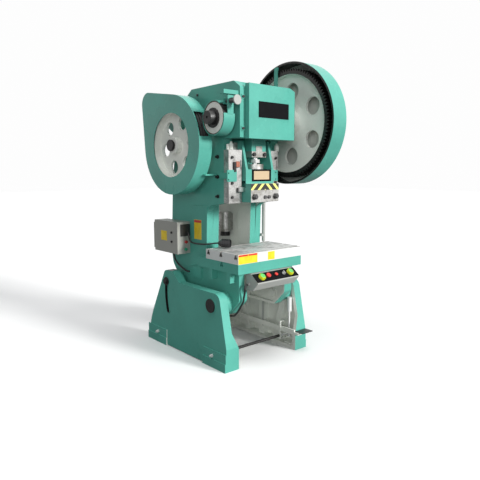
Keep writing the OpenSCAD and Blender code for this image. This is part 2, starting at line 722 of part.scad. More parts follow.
// Flywheel and belt
fly_x0 = -fly_x;
fly_x1 = -fly_x + fly_w;
module flywheel() color(pale) difference() {
  union() {
    difference() {
      x_cyl(fly_r, fly_x0, fly_x1, shaft_y, shaft_z, $fn = 128);
      x_cyl(fly_rim_in, fly_x0 - 1, fly_x1 + 1, shaft_y, shaft_z, $fn = 96);
    }
    x_cyl(fly_rim_in + 4, fly_x0 + 55, fly_x0 + 78, shaft_y, shaft_z);
    x_cyl(60, fly_x0 + 7, fly_x0 + 56, shaft_y, shaft_z);
    x_cyl(75, fly_x0 + 55, fly_x1 + 10, shaft_y, shaft_z);
  }
  x_cyl(shaft_r + eps, fly_x0 - 1, fly_x1 + 12, shaft_y, shaft_z);
  for (i = [0:5])
    x_cyl(fly_hole_r, fly_x0 + 50, fly_x0 + 80, shaft_y + 168 * cos(i * 60 - 10),
      shaft_z + 168 * sin(i * 60 - 10));
}
belt_x = [fly_x0 + 14, fly_x0 + 38, fly_x0 + 62];
belt_w = 17;
belt_lift = 0.6;
shaft_c = [shaft_y, shaft_z];
motor_c = [motor_y, motor_z];
module v_belts() color(black) for (x = belt_x)
  difference() {
    side_prism(x, x + belt_w, teardrop(shaft_c, fly_r + 9, motor_c, pulley_r + 9, 60));
    side_prism(x - 1, x + belt_w + 1,
      teardrop(shaft_c, fly_r + belt_lift, motor_c, pulley_r + belt_lift, 60));
  }
module motor_pulley() color(dark) {
  x_cyl(pulley_r, fly_x0, fly_x1, motor_y, motor_z);
  x_cyl(19, fly_x0 - 4, -290, motor_y, motor_z);
}
motor_x0 = -300;
motor_x1 = 60;
module motor() color(paint) {
  difference() {
    union() {
      x_cyl(motor_r - 10, motor_x0 + 30, motor_x1 - 40, motor_y, motor_z);
      for (i = [0:17])
        translate([motor_x0 + 40, motor_y, motor_z])
          rotate([i * 20, 0, 0])
          translate([0, -2.5, 0])
          cube([motor_x1 - motor_x0 - 90, 5, motor_r]);
      x_cyl(motor_r, motor_x0 + 14, motor_x0 + 34, motor_y, motor_z);
      x_cone(60, motor_r, motor_x0, motor_x0 + 15, motor_y, motor_z);
      x_cyl(motor_r, motor_x1 - 46, motor_x1, motor_y, motor_z);
      block([-190, -70], [motor_y + 60, motor_y + motor_r + 30], [motor_z - 50, motor_z + 50]);
      for (s = [-1, 1])
        block([-200, -30], [motor_y + s * 70 - 22, motor_y + s * 70 + 22], [motor_z - 112, motor_z - 55]);
    }
    x_cyl(19 + run_fit, motor_x0 - 1, -280, motor_y, motor_z);
  }
}
base_top = motor_z - 112;
module motor_base() color(paint) {
  pair() side_prism(side_in - 14, side_in, [[110, base_top - 150], [230, base_top - 190],
    [motor_y + 110, base_top - 30], [motor_y + 110, base_top - 14], [110, base_top - 14]]);
  difference() {
    block([-side_in, side_in], [motor_y - 130, motor_y + 110], [base_top - 14, base_top]);
    for (x = [-185, -45])
      for (s = [-1, 1])
        block([x - 6, x + 6], [motor_y + s * 70 - 16, motor_y + s * 70 + 16], [base_top - 15, base_top + 1]);
  }
}
belt_guard_r = fly_r + 23;
belt_guard_tip = pulley_r + 28;
belt_guard_x0 = fly_x0 - 15;
belt_guard_x1 = -335;
module belt_guard() color(paint) {
  difference() {
    side_prism(belt_guard_x0, belt_guard_x1, teardrop(shaft_c, belt_guard_r, motor_c, belt_guard_tip));
    side_prism(belt_guard_x0 + sheet_t, belt_guard_x1 + 1,
      teardrop(shaft_c, belt_guard_r - sheet_t, motor_c, belt_guard_tip - sheet_t));
    x_cyl(233, belt_guard_x0 - 1, belt_guard_x0 + sheet_t + 1, shaft_y, shaft_z, $fn = 96);
    // room for the brake
    block([belt_guard_x0 + 7, belt_guard_x1 + 1], [-320, -150], [1637, 1807]);
  }
  bracket_z = 1366;
  bracket_y = shaft_y - sqrt(pow(belt_guard_r - 1.5, 2) - pow(bracket_z - shaft_z, 2));
  block([belt_guard_x1 - 30, -side_out], [bracket_y - 36, bracket_y], [bracket_z, bracket_z + 10]);
}

// Guides of the ram
gib_top = 1600;
toe_x = 143;
cap_back = cheek_front;
cap_front = -379;
// The left cap reaches out over the side plate, the right one stays inside it
cap_x = [[-side_out, -toe_x], [toe_x, side_in + 1]];
module gib_caps() color(steel) for (x = cap_x)
  difference() {
    block(x, [cap_front, cap_back], [throat_z, 1547]);
    // oil slot
    block([x[1] - 13, x[1] - 7], [cap_front - 1, cap_front + 13], [1408, 1475]);
  }
module gib_strips() color(steel) pair()
  block([tongue_half + guide_gap, cheek_in], [-318, -220], [throat_z + 5, gib_top]);
module gib_brackets() color(paint) {
  difference() {
    block([-285, -200], [-390, cap_front], [1325, 1406]);
    for (z = [1337, 1383])
      y_cyl(6, -275, -391, -378, z);
  }
  block([-285, -side_out], [-380, -300], [1345, 1386]);
  difference() {
    block([154, 206], [-390, cap_front], [1325, 1406]);
    for (z = [1337, 1387])
      y_cyl(6, 185, -391, -378, z);
  }
}
module oil_cups() color("#b9a36a") {
  for (x = [-219, 229]) {
    z_cyl(17, x, -350, 1547, 1590);
    z_cyl(8, x, -350, 1589, 1604);
  }
  z_cyl(10, -250, -350, 1547, 1586);
}

// Ram
ram_back = -215;
ram_front = -412;
clamp_front = -470;
clamp_top = ram_z + 72;
lip_top = 1309;
plate_top = 1410;
knock_z0 = 1251;
pocket_half = 117;
seat_r = 50;
seat_z0 = ball_z - 50;
seat_z1 = ball_z + 10;
ram_profile = [[ram_back, ram_z], [crank_y - 1, ram_z], [crank_y - 1, clamp_top], [ram_front, clamp_top],
  [ram_front, lip_top], [-415, lip_top], [-415, plate_top], [-365, ram_top - 5], [-357, ram_top],
  [ram_back, ram_top]];
module ram() color(paint) difference() {
  union() {
    side_prism(-ram_half, ram_half, ram_profile);
    block([-tongue_half, tongue_half], [cap_back + guide_gap, ram_back], [ram_z, gib_top]);
  }
  // pocket for the connecting rod, open at the front and top
  translate([0, -270, 0])
    rotate([90, 0, 0])
    linear_extrude(200)
    polygon(rounded([[-pocket_half, plate_top, 8], [pocket_half, plate_top, 8], [pocket_half, ram_top + 40],
      [-pocket_half, ram_top + 40]]));
  z_cyl(seat_r + 0.1, 0, crank_y, seat_z0, seat_z1 + 2);
  z_cyl(shank_r, 0, crank_y, ram_z - 1, ram_z + shank_depth);
  block([-tongue_half - 1, tongue_half + 1], [-410, -336], [knock_z0, knock_z0 + knock_h + knock_travel + 3]);
  z_cyl(11, 0, crank_y, ram_z + shank_depth - 1, knock_z0 + 1);
  pair() y_cyl(14.2, 103, -413, -300, clamp_z);
}
module shank_clamp() color(steel) difference() {
  union() {
    block([-ram_half, ram_half], [clamp_front, crank_y - 1.4], [ram_z, clamp_top - 0.4]);
    block([-ram_half, ram_half], [clamp_front, ram_front - 0.4], [clamp_top - 1, lip_top]);
  }
  z_cyl(shank_r, 0, crank_y, ram_z - 1, ram_z + shank_depth);
  pair() y_cyl(14.2, 103, clamp_front - 1, -300, clamp_z);
  for (x = [0, 38])
    y_cyl(6, x, clamp_front - 1, clamp_front + 12, clamp_z - 5);
}
module clamp_nuts() color(dark) {
  pair() y_cyl(14, 103, clamp_front - 26, -300, clamp_z);
  pair() hex_y(22, 103, clamp_front - 18, clamp_front, clamp_z);
  for (x = [0, 38])
    hex_y(14, x, clamp_front - 10, clamp_front, clamp_z - 5);
}
module ram_plates() {
  color("gold") block([-ram_half, ram_half], [clamp_front - 1, clamp_front], [1264, lip_top - 1]);
  color("burlywood") block([-80, 109], [-418, -415], [1324, plate_top]);
}
module ball_seat() color("#b08d57") difference() {
  union() {
    z_cyl(seat_r, 0, crank_y, seat_z0, seat_z1 - 0.2);
    z_cyl(64, 0, crank_y, plate_top, 1448);
  }
  translate([0, crank_y, ball_z]) sphere(r = ball_r + seat_gap);
  z_cyl(screw_r + 5.5, 0, crank_y, ball_z, 1449);
}
rod_eye = 113;
eye_c = [crank_y, crank_z + throw_r];
block_z = [1538, 1645];
module eye(x0, x1, half, r) side_prism(x0, x1, rounded([
  [eye_c.x - half, eye_c.y - half, r], [eye_c.x + half, eye_c.y - half, r],
  [eye_c.x + half, eye_c.y + half, r], [eye_c.x - half, eye_c.y + half, r]]));
module connecting_rod() color(paint) difference() {
  union() {
    eye(-rod_half, rod_half, rod_eye + rod_wall, 90);
    block([-rod_half, rod_half], [crank_y - 48, crank_y + 48], [1600, eye_c.y - rod_eye - 2]);
    block([-rod_block_half, rod_block_half], [crank_y - 44, crank_y + 44], block_z);
  }
  eye(-rod_half - 1, rod_half + 1, rod_eye, 75);
  z_cyl(screw_r + 0.2, 0, crank_y, block_z[0] - 1, 1600);
}
clamp_face = crank_y - 48;
module rod_clamp() {
  color(steel) difference() {
    union() {
      block([-rod_block_half, rod_block_half], [crank_y - 44, crank_y + 44], [1497, block_z[0] - 0.3]);
      block([-30, 30], [clamp_face, crank_y - 43.5], [1497, 1575]);
      block([-rod_block_half, rod_block_half], [clamp_face, crank_y - 43.5], [1497, block_z[0] - 0.3]);
    }
    z_cyl(screw_r + 0.2, 0, crank_y, 1496, block_z[0]);
    pair() y_cyl(10, 52, clamp_face - 1, crank_y - 20, 1517);
    block([-31, 31], [crank_y - 44.3, crank_y - 40], [block_z[0] - 1, 1580]);
  }
  color(black) pair() {
    y_cyl(9.8, 52, clamp_face - 4, crank_y - 20.5, 1517);
    y_cyl(14, 52, clamp_face - 12, clamp_face, 1517);
  }
}
module ball_screw() color(steel) {
  translate([0, crank_y, ball_z]) sphere(r = ball_r);
  z_cyl(screw_r - 3, 0, crank_y, ball_z + 10, 1456);
  z_cyl(screw_r, 0, crank_y, 1455, 1598);
  hex_z(screw_r + 14, 0, crank_y, 1456, 1482);
}
module knockout_bar() color(steel) {
  z0 = knock_z0 + seat_gap;
  block([-ram_half + 20, ram_half - 20], [-408, -340], [z0, z0 + knock_h]);
  block([-188, 188], [-408, -391], [z0, z0 + knock_h]);
}

// Electrics
panel_a = [-556, 682];
panel_b = [-622, 630];
box_back = -480;
box_section = rounded([panel_a, [box_back - 20, 687], [box_back - 20, 560], [-570, 566, 4],
  [panel_b.x, panel_b.y - 8, 6], panel_b]);
panel_dir = unit(panel_b - panel_a);
panel_up = [panel_dir.y, -panel_dir.x];
panel_mid = (panel_a + panel_b) / 2;
panel_a_deg = atan2(panel_up.y, panel_up.x);
panel_t = 2;
// Places a child on the tilted panel with its Z along the panel's normal
module on_panel(x, lift = 0) translate([x, panel_mid.x, panel_mid.y])
  rotate([panel_a_deg - 90, 0, 0])
  translate([0, 0, lift])
  children();
button_x = [-palm_pitch / 2, -82, -2, 77, palm_pitch / 2];
button_bore = [11.2, 11.2, 8.2, 8.2, 11.2];
shell_t = 3;
module control_box() color(dark) difference() {
  union() {
    side_prism(-control_half, control_half, box_section);
    // ears that hold the box under the table
    for (x = [-150, 120])
      block([x, x + 30], [box_back - 30, box_back + 30], [665, table_z - table_t]);
    // gland of the conduit
    x_cyl(12, -control_half - 14, -control_half + 1, -530, 606);
  }
  side_prism(-control_half + shell_t, control_half - shell_t, inset_section);
  for (i = [0:4])
    on_panel(button_x[i], -20) cylinder(r = button_bore[i] + 2, h = 30);
}
inset_section = [[panel_a.x + 2, panel_a.y - 5], [box_back - 24, 682], [box_back - 24, 564],
  [-568, 570], [panel_b.x + 5, panel_b.y - 6]];
module control_panel() color(black) difference() {
  union() {
    on_panel(0) translate([-control_half, -panel_len / 2, 0])
      cube([2 * control_half, panel_len, panel_t]);
    for (x = [button_x[0], button_x[4]])
      on_panel(x, panel_t - eps) cylinder(r = palm_r + 6, h = 12);
  }
  for (x = [button_x[0], button_x[4]])
    on_panel(x, panel_t + 1) cylinder(r = palm_r + 3, h = 20);
  for (i = [0:4])
    on_panel(button_x[i], -5) cylinder(r = button_bore[i], h = 30);
}
panel_len = norm(panel_b - panel_a) - 4;
module push_button(x, r, stem, tint, z0, h) color(tint) {
  on_panel(x, -12) cylinder(r = stem, h = z0 + 13);
  on_panel(x, z0) cylinder(r = r, h = h);
}
module left_palm_button()
  push_button(button_x[0], palm_r, 11, "yellowgreen", panel_t + button_travel + 4, 12);
module right_palm_button()
  push_button(button_x[4], palm_r, 11, "yellowgreen", panel_t + button_travel + 4, 12);
module emergency_stop() push_button(button_x[1], 19, 11, "red", panel_t + button_travel + 3, 12);
module stop_button() push_button(button_x[2], 13, 8, "firebrick", panel_t + button_travel + 2, 6);
module selector() color(steel) {
  on_panel(button_x[3], -12) cylinder(r = 8 - 0.1, h = 12 + panel_t + 2);
  on_panel(button_x[3], panel_t + seat_gap) cylinder(r = 14, h = 6);
  on_panel(button_x[3], panel_t + 5) translate([-4, -13, 0]) cube([8, 26, 12]);
}
ebox = [[-side_out - ebox_w, -side_out], [100, 100 + ebox_d], [table_z, table_z + ebox_h]];
door_t = 3;
module electric_box() color("lightgray") {
  difference() {
    block(ebox[0], ebox[1], ebox[2]);
    block([ebox[0][0] - 1, ebox[0][1] - shell_t], ebox[1] + [shell_t, -shell_t],
      ebox[2] + [shell_t, -shell_t]);
  }
  // mounting plate with its switchgear
  block([ebox[0][1] - 6, ebox[0][1] - shell_t + eps], ebox[1] + [30, -30], ebox[2] + [30, -30]);
  for (i = [0:2])
    block([ebox[0][1] - 60, ebox[0][1] - 5.9], [160 + 70 * i, 205 + 70 * i], [845, 925]);
}
door_x = ebox[0][0] - seat_gap;
hinge_y = ebox[1][1] + 6;
module box_door() {
  color("lightgray") {
    block([door_x - door_t, door_x], ebox[1] + [0, 2], ebox[2]);
    block([door_x - door_t - 2, door_x - door_t + 1], [ebox[1][1] + 1, hinge_y], ebox[2] + [20, -20]);
    z_cyl(5, door_x - door_t, hinge_y, ebox[2][0] + 20, ebox[2][1] - 20);
  }
  color(steel) for (z = [851, 923])
    x_cyl(9, door_x - door_t - 8, door_x - door_t + 1, 178, z);
  color("gold") block([door_x - door_t - 1, door_x - door_t + eps], [247, 333], [852, 929]);
}
lamp_x = -313;
module signal_lamps() {
  front = ebox[1][0];
  color(black) block([-356, -270], [front - 8, front], [897, 989]);
  color("red") y_cyl(12, lamp_x + 4, front - 16, front, 851);
  color("limegreen") y_cyl(12, lamp_x, front - 16, front, 794);
}
neck_route = [[-300, 91.7, 925], [-300, 82, 925], [-300, 70, 912], [-300, 64, 885], [-300, 45, 860],
  [-300, 15, 852], [-300, -30, 851], [-297, -75, 852], [-288, -120, 855], [-272, -165, 861], [-252, -195, 867],
  [-232, -221, 870]];
head_dir = unit([61, -85, 0]);
head_at = [-232, -221, 870];
head_r = 33;
module work_lamp() color(black) {
  tube_on(neck_route, 6);
  translate(head_at)
    rotate([0, 90, atan2(head_dir.y, head_dir.x)]) {
    translate([0, 0, -2]) cylinder(r1 = 15, r2 = head_r - 4, h = 24);
    difference() {
      union() {
        translate([0, 0, 21]) cylinder(r = head_r - 4, h = 69);
        // cooling rings
        for (i = [0:4])
          translate([0, 0, 24 + i * 13]) cylinder(r = head_r, h = 7);
      }
      translate([0, 0, 62]) cylinder(r = head_r - 7, h = 30);
    }
  }
}
control_route = [[-221.3, -530, 606], [-231, -530, 606], [-240, -530, 600], [-244, -530, 585],
  [-244, -529, 565], [-242, -522, 540], [-240, -512, 510], [-238, -503, 478], [-236, -475, 440],
  [-234, -449, 405], [-233, -422, 374], [-232, -395, 354], [-232, -360, 344], [-232, -325, 342],
  [-232, -310, 346], [-232, -305, 354], [-232, -305, 361.7]];
box_route = [[-290, 300, 758.7], [-290, 300, 740], [-290, 287, 700], [-289, 255, 665], [-288, 205, 640],
  [-286, 155, 622], [-281, 122, 612], [-274, 115, 610], [-265.4, 115, 610]];
module conduits() color(black) {
  tube_on(control_route, 7);
  tube_on(box_route, 7);
}
module clutch_solenoid() {
  cx = side_in - 60;
  cy = 184;
  color(dark) {
    for (i = [0:6])
      z_cyl(55, cx, cy, 893 + i * 24, 893 + i * 24 + 16);
    z_cyl(49, cx, cy, 892, 1056);
    z_cyl(42, cx, cy, 855, 893);
    block([cx, side_in], [cy - 30, cy + 30], [900, 1040]);
  }
}

// Treadle and trip linkage
lever_x = [272, 272 + lever_t];
pull = [300, -138];
trip = [-258, 1440];
pedal_back = -foot_reach - 4;
slot_y = [-240, -122];
lever_mid = 148;
module treadle_lever() color(dark) difference() {
  union() {
    block(lever_x, [pedal_back + 1, 140], [lever_mid - lever_h / 2, lever_mid + lever_h / 2]);
    x_cyl(26, lever_x[0], lever_x[1], treadle_pin.x, treadle_pin.y);
    block(lever_x, [120, 160], [lever_mid - 30, lever_mid + 10]);
    // bracket that pulls the rod down
    block([lever_x[1] - 1, pull.x + 16], [slot_y[0] - 12, slot_y[1] + 10], [lever_mid - 6, lever_mid + 6]);
    // lug for the return strut
    block([lever_x[1] - 1, strut.x + 14], [strut.y - 18, strut.y + 18], [lever_mid - 5, lever_mid + 5]);
    // seat of the plate
    block([lever_x[0], lever_x[0] + treadle_w - 16], [pedal_back - 40, pedal_back + 1],
      [lever_mid - 14, lever_mid + 4]);
  }
  x_cyl(12 + run_fit, lever_x[0] - 1, lever_x[1] + 1, treadle_pin.x, treadle_pin.y);
  block([pull.x - pull_r - 3, pull.x + pull_r + 3], slot_y, [lever_mid - 7, lever_mid + 7]);
  z_cyl(11, strut.x, strut.y, lever_mid - 6, lever_mid + 6);
}
module treadle_plate() color(black)
  block([284, 284 + treadle_w], [pedal_back - treadle_d, pedal_back], [lever_mid + 4, lever_mid + 10]);
tube_z = [830, 1240];
module rod_guide() color(steel) {
  difference() {
    union() {
      z_cyl(pull_r + 6, pull.x, pull.y, tube_z[0], tube_z[1]);
      for (z = [tube_z[0] + 40, tube_z[1] - 60])
        block([side_out, pull.x], [pull.y - 8, pull.y + 34], [z, z + 20]);
    }
    z_cyl(pull_r + run_fit, pull.x, pull.y, tube_z[0] - 1, tube_z[1] + 1);
    // clear of the column strip
    block([side_out - 1, side_out + strip_t], [pull.y - 9, pull.y + 35], [tube_z[0], 1135.3]);
  }
}
collar_gap = 4;
module pull_rod() color(steel) {
  z_cyl(pull_r, pull.x, pull.y, 112, 1520);
  hex_z(pull_r + 6, pull.x, pull.y, lever_mid - 8 - 14, lever_mid - 8);
  z_cyl(pull_r + 6, pull.x, pull.y, trip.y + 8 + collar_gap, trip.y + 20 + collar_gap);
}
module trip_lever() color(dark) difference() {
  union() {
    x_cyl(20, side_out + strip_t, side_out + 47, trip.x, trip.y);
    block([pull.x - 22, pull.x + 22], [trip.x, pull.y + 18], [trip.y - 8, trip.y + 8]);
    x_cyl(11.9, side_out - 28, side_out + strip_t + 1, trip.x, trip.y);
  }
  block([pull.x - pull_r - 2, pull.x + pull_r + 2], [pull.y - pull_r - 6, pull.y + 19],
    [trip.y - 9, trip.y + 9]);
}

left_leg();
right_leg();
tie_rods();
treadle_bracket();
return_strut();
frame();
tilt_bolts();
bolster();
socket_screws();
front_cover();
label_plates();
bushes();
brake_band();
brake_lining();
brake_tension();
gear_guard();
guard_post();
belt_guard();
motor();
motor_base();
v_belts();
gib_caps();
gib_strips();
gib_brackets();
oil_cups();
control_box();
control_panel();
electric_box();
signal_lamps();
work_lamp();
conduits();
clutch_solenoid();
rod_guide();
crankshaft();
brake_drum();
bull_gear();
drive_shaft();
drive_pinion();
flywheel();
motor_pulley();
ram();
shank_clamp();
clamp_nuts();
ram_plates();
ball_seat();
connecting_rod();
rod_clamp();
ball_screw();
knockout_bar();
treadle_lever();
treadle_plate();
pull_rod();
trip_lever();
box_door();
left_palm_button();
right_palm_button();
emergency_stop();
stop_button();
selector();
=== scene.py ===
import json
import math

import bmesh
import bpy
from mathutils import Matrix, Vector


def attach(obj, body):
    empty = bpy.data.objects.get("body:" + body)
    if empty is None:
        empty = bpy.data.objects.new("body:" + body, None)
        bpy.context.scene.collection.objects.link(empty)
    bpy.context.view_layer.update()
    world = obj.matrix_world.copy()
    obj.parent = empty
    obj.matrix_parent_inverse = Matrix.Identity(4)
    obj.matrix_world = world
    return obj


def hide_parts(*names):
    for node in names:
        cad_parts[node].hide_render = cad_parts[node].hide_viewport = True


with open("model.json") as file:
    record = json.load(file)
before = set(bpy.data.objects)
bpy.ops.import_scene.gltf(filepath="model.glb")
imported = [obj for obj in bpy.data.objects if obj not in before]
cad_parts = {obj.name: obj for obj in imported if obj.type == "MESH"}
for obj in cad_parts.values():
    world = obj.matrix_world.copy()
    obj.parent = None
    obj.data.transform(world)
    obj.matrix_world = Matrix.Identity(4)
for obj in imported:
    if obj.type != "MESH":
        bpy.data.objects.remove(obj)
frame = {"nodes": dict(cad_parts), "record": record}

MM = 0.001
nodes = frame["nodes"]
scene = bpy.context.scene
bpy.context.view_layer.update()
body_of_node = {n: b for b, members in frame["record"]["behaviour"]["bodies"].items() for n in members}


# Shader helpers
def link(tree, a, b):
    tree.links.new(a, b)


def node_at(tree, kind, **settings):
    n = tree.nodes.new(kind)
    for key, value in settings.items():
        setattr(n, key, value)
    return n


def noise(tree, coord, scale, detail=4.0, rough=0.55, stretch=None):
    """A noise texture in metres, stretched along an axis where stretch gives three factors."""
    if stretch:
        m = node_at(tree, "ShaderNodeMapping")
        m.inputs["Scale"].default_value = stretch
        link(tree, coord, m.inputs["Vector"])
        coord = m.outputs["Vector"]
    n = node_at(tree, "ShaderNodeTexNoise")
    n.inputs["Scale"].default_value = scale
    n.inputs["Detail"].default_value = detail
    n.inputs["Roughness"].default_value = rough
    link(tree, coord, n.inputs["Vector"])
    return n.outputs["Fac"]


def ramp(tree, value, stops):
    """Colours along a value, from (place, colour) pairs."""
    r = node_at(tree, "ShaderNodeValToRGB")
    while len(r.color_ramp.elements) < len(stops):
        r.color_ramp.elements.new(0.5)
    for element, (place, color) in zip(r.color_ramp.elements, stops):
        element.position = place
        element.color = (*color, 1.0)
    link(tree, value, r.inputs["Fac"])
    return r.outputs["Color"]


def spread(tree, value, low, high, start=0.3, end=0.7):
    """Maps a value from start..end to low..high."""
    m = node_at(tree, "ShaderNodeMapRange")
    for name, v in (("From Min", start), ("From Max", end), ("To Min", low), ("To Max", high)):
        m.inputs[name].default_value = v
    link(tree, value, m.inputs["Value"])
    return m.outputs["Result"]


def bump(tree, shader, height, strength, distance):
    b = node_at(tree, "ShaderNodeBump")
    b.inputs["Strength"].default_value = strength
    b.inputs["Distance"].default_value = distance
    link(tree, height, b.inputs["Height"])
    link(tree, b.outputs["Normal"], shader.inputs["Normal"])


def start_material(name, metal=0.0, coat=0.0, specular=0.5):
    mat = bpy.data.materials.new(name)
    mat.use_nodes = True
    tree = mat.node_tree
    shader = tree.nodes["Principled BSDF"]
    shader.inputs["Metallic"].default_value = metal
    shader.inputs["Coat Weight"].default_value = coat
    shader.inputs["Coat Roughness"].default_value = 0.12
    shader.inputs["Specular IOR Level"].default_value = specular
    coord = node_at(tree, "ShaderNodeTexCoord").outputs["Object"]
    return mat, tree, shader, coord


def shade_of(color, factor):
    return tuple(min(1.0, c * factor) for c in color)


def paint(name, color, rough=0.32, peel=0.25, coat=0.08, vary=0.1):
    """Machine enamel: slow and fine tint changes, and orange peel in the surface."""
    mat, tree, shader, coord = start_material(name, coat=coat, specular=0.25)
    slow = noise(tree, coord, 3.0, 3.0)
    fine = noise(tree, coord, 60.0, 5.0, 0.6)
    mix = node_at(tree, "ShaderNodeMath", operation="MULTIPLY_ADD")
    mix.inputs[1].default_value = 0.35
    link(tree, fine, mix.inputs[0])
    link(tree, slow, mix.inputs[2])
    tint = ramp(tree, mix.outputs["Value"],
                [(0.35, shade_of(color, 1 - vary)), (0.85, shade_of(color, 1 + vary))])
    link(tree, tint, shader.inputs["Base Color"])
    link(tree, spread(tree, slow, rough - 0.06, rough + 0.08), shader.inputs["Roughness"])
    bump(tree, shader, noise(tree, coord, 220.0, 2.0), peel, 0.0004)
    return mat


def metal(name, color, rough=0.35, streak=(1, 1, 1), scale=80.0, vary=0.18, stain=None, metallic=1.0):
    """Machined or turned metal: streaks along the cut, and stains where given."""
    mat, tree, shader, coord = start_material(name, metal=metallic)
    cut = noise(tree, coord, scale, 6.0, 0.6, streak)
    patch = noise(tree, coord, 9.0, 6.0, 0.65)
    tint = ramp(tree, cut, [(0.3, shade_of(color, 1 - vary)), (0.7, shade_of(color, 1 + vary))])
    if stain:
        m = node_at(tree, "ShaderNodeMixRGB")
        link(tree, spread(tree, patch, 0.0, 0.85, 0.46, 0.62), m.inputs["Fac"])
        link(tree, tint, m.inputs["Color1"])
        m.inputs["Color2"].default_value = (*stain, 1)
        tint = m.outputs["Color"]
    link(tree, tint, shader.inputs["Base Color"])
    link(tree, spread(tree, patch, rough - 0.08, rough + 0.16), shader.inputs["Roughness"])
    bump(tree, shader, cut, 0.25, 0.0003)
    return mat


def plastic(name, color, rough=0.45, grain=0.3, coat=0.0, specular=0.5):
    """Plastic or a plain printed plate: slow tint changes and a fine grain."""
    mat, tree, shader, coord = start_material(name, coat=coat, specular=specular)
    slow = noise(tree, coord, 25.0, 4.0)
    link(tree, ramp(tree, slow, [(0.3, shade_of(color, 0.85)), (0.7, shade_of(color, 1.12))]),
         shader.inputs["Base Color"])
    link(tree, spread(tree, slow, rough - 0.05, rough + 0.08), shader.inputs["Roughness"])
    bump(tree, shader, noise(tree, coord, 900.0, 2.0), grain, 0.0002)
    return mat


GREEN = (0.090, 0.37, 0.30)
PALE = (0.74, 0.76, 0.70)
CREAM = (0.86, 0.87, 0.81)
STEEL = (0.52, 0.515, 0.50)

M = {
    "green": paint("green_enamel", GREEN),
    "green_sheet": paint("green_sheet_enamel", GREEN, rough=0.26, peel=0.15, coat=0.15, vary=0.14),
    "pale": paint("pale_undercoat", PALE, rough=0.5, peel=0.4, coat=0.0, vary=0.12),
    "cream": paint("cream_primer", CREAM, rough=0.5, peel=0.3, coat=0.0, vary=0.1),
    "white": paint("white_primer", (0.68, 0.69, 0.68), rough=0.5, peel=0.2, coat=0.0, vary=0.06),
    "grey": paint("grey_powder_coat", (0.40, 0.41, 0.39), rough=0.42, peel=0.5, coat=0.05, vary=0.06),
    "grey_light": paint("light_grey_powder_coat", (0.36, 0.36, 0.33), rough=0.42, peel=0.5, coat=0.05,
                        vary=0.05),
    "table_top": metal("ground_table", (0.72, 0.715, 0.70), 0.45, (1, 1, 1), 45.0, 0.2, (0.3, 0.29, 0.285),
                       0.3),
    "milled": metal("milled_steel", STEEL, 0.38, (1, 1, 8), 60.0, 0.2, (0.2, 0.19, 0.17), 0.85),
    "worn": metal("worn_steel", (0.42, 0.415, 0.405), 0.42, (1, 1, 4), 50.0, 0.3, (0.14, 0.135, 0.13), 0.6),
    "bright": metal("bright_steel", (0.62, 0.62, 0.61), 0.26, (1, 1, 6), 90.0, 0.12),
    "bright_paint": paint("silver_paint", (0.66, 0.67, 0.66), rough=0.35, peel=0.1, coat=0.0, vary=0.05),
    "turned": metal("turned_dark_steel", (0.1, 0.1, 0.1), 0.4, (8, 1, 1), 60.0, 0.25, None, 0.9),
    "black": metal("black_oxide", (0.028, 0.027, 0.027), 0.38, (1, 1, 1), 60.0, 0.3, None, 0.5),
    "grease_and_painted_shade": metal("greasy_iron_and_painted_shade", (0.018, 0.017, 0.016), 0.3, (1, 1, 1), 40.0, 0.5, None, 0.3),
    "bronze": metal("bronze", (0.5, 0.33, 0.15), 0.35, (6, 1, 1), 60.0, 0.15),
    "copper": metal("copper_pipe", (0.40, 0.16, 0.11), 0.32, (1, 1, 1), 60.0, 0.2),
    "lining": plastic("brake_lining", (0.09, 0.06, 0.04), 0.8, 0.8),
    "rubber": plastic("belt_rubber", (0.02, 0.02, 0.02), 0.7, 0.5),
    "plastic": plastic("black_plastic", (0.018, 0.018, 0.019), 0.42, 0.3),
    "panel": plastic("black_panel", (0.008, 0.008, 0.009), 0.6, 0.1, specular=0.03),
    "beige": paint("beige_plate", (0.55, 0.42, 0.27), rough=0.4, peel=0.1, coat=0.1, vary=0.06),
    "yellow": plastic("yellow_plate", (0.86, 0.62, 0.02), 0.35, 0.1, 0.2),
    "red": plastic("red_enamel", (0.62, 0.03, 0.02), 0.35, 0.1, 0.2),
    "button_yellow": plastic("button_yellow", (0.72, 0.75, 0.02), 0.3, 0.05, 0.3),
    "button_green": plastic("button_green", (0.10, 0.50, 0.10), 0.3, 0.05, 0.3),
    "lens_red": plastic("lens_red", (0.45, 0.03, 0.03), 0.15, 0.0, 0.5),
    "lens_green": plastic("lens_green", (0.02, 0.3, 0.16), 0.15, 0.0, 0.5),
}


# The chevrons: their pitch and the softness of their edges in metres, and how much of the pitch is black
STRIPE_PITCH = 0.068
EDGE_BLUR = 0.0006
BLACK_SHARE = 0.3
STRIPE_BLACK = (0.015, 0.015, 0.015)
STRIPE_YELLOW = (0.80, 0.78, 0.22)


